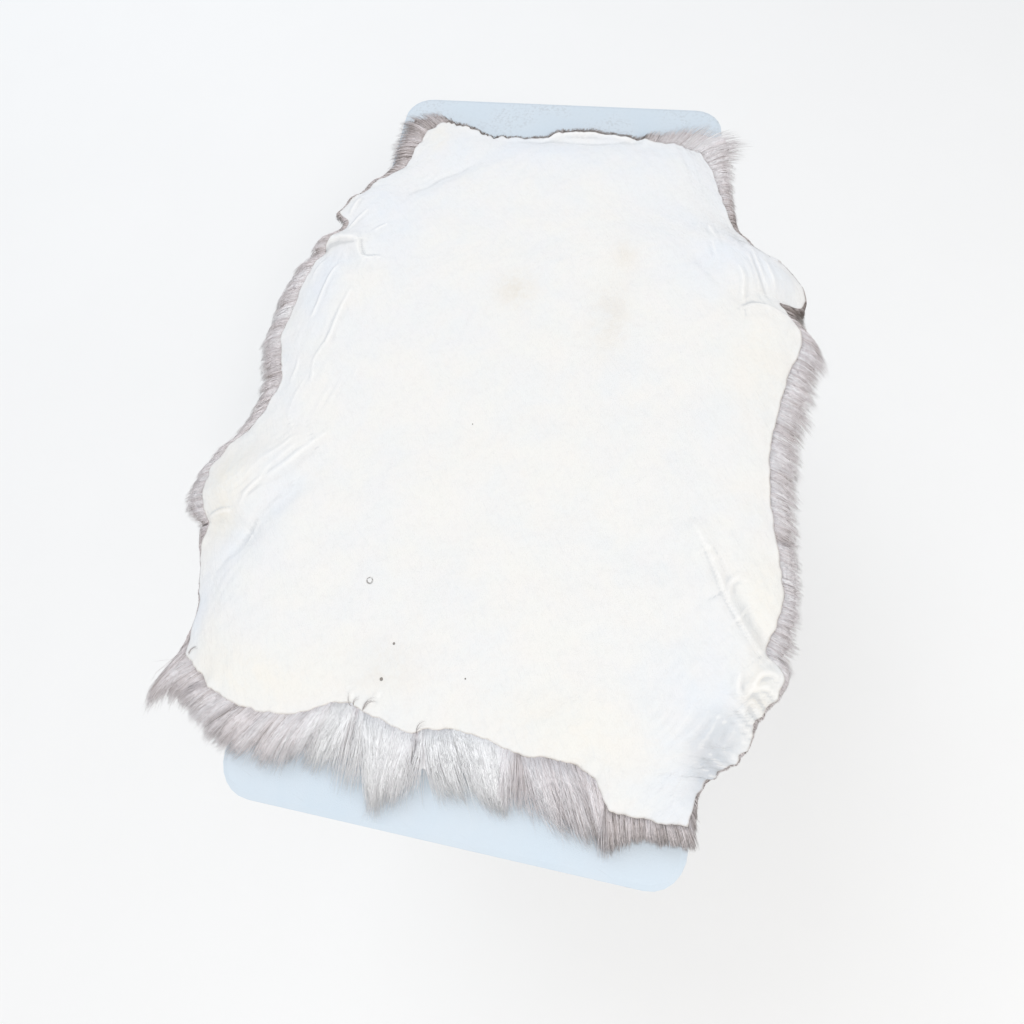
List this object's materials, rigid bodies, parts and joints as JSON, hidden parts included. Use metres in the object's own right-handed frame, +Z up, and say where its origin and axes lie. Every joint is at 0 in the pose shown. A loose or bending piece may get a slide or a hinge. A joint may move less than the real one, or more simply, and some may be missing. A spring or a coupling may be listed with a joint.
{
  "type": "reindeer hide draped over a folding table",
  "caption": "Whole tanned reindeer hide with its hair on, lying flesh side up over a plain folding table, its sides bending down past the table's long edges.",
  "frame": {"origin": "on the floor, under the middle of the whole object's box", "axes": "+Z up; +Y along the table's length and the hide's backbone, towards the neck; +X across, to the right when looking along +Y"},
  "size_m": [1.0122, 1.22, 0.7793],
  "materials": {
    "hide": "soft matt flesh side, cream white",
    "hair": "dense hollow hair, grey brown and white",
    "moulded_plastic": "fine texture, pale blue white",
    "painted_steel": "satin grey",
    "rubber": "matt black"
  },
  "bodies": {
    "root": {"hide": "hide", "table_top": "moulded_plastic", "rail_left": "painted_steel", "rail_right": "painted_steel", "leg_near_left": "painted_steel", "foot_near_left": "rubber", "leg_near_right": "painted_steel", "foot_near_right": "rubber", "pivot_near": "painted_steel", "stretcher_near": "painted_steel", "brace_near": "painted_steel", "bracket_near": "painted_steel", "leg_far_left": "painted_steel", "foot_far_left": "rubber", "leg_far_right": "painted_steel", "foot_far_right": "rubber", "pivot_far": "painted_steel", "stretcher_far": "painted_steel", "brace_far": "painted_steel", "bracket_far": "painted_steel"}
  },
  "joints": []
}
